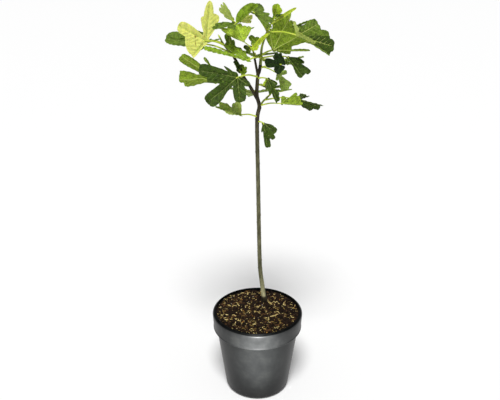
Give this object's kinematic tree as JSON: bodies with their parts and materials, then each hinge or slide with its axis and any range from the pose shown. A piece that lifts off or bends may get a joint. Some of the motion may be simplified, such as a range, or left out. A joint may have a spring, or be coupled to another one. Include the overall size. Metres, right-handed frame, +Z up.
{
  "type": "potted fig tree",
  "caption": "Young fig tree grown as a slim standard, with a round crown of lobed leaves on a bare trunk, in a tapered round nursery pot filled with potting mulch.",
  "frame": {"origin": "middle of the pot's flat underside", "axes": "+Z up along the trunk, +X to the side where the crown's widest leaf hangs, -Y towards the front of the crown"},
  "size_m": [0.3879, 0.2796, 1.0276],
  "materials": {
    "pot": "satin dark grey",
    "mulch": "rough loose bark mulch",
    "bark": "smooth young bark",
    "leaves": "soft matt leaf"
  },
  "bodies": {
    "root": {"pot": "pot", "potting_mulch": "mulch", "trunk": "bark", "bough_right": "bark", "bough_middle": "bark", "bough_left": "bark", "foliage_left": "leaves", "foliage_top": "leaves", "foliage_middle": "leaves", "foliage_right": "leaves", "foliage_low": "leaves", "leaf_fan_left": "leaves", "leaf_left_curled": "leaves", "leaf_left_light": "leaves", "leaf_left_rear": "leaves", "leaf_black": "leaves", "leaf_right_under": "leaves", "leaf_front_dark": "leaves", "leaf_fork_right": "leaves", "leaf_fork_rear": "leaves", "leaf_trunk_back": "leaves", "leaf_low_left": "leaves", "leaf_lowest": "leaves"}
  },
  "joints": []
}
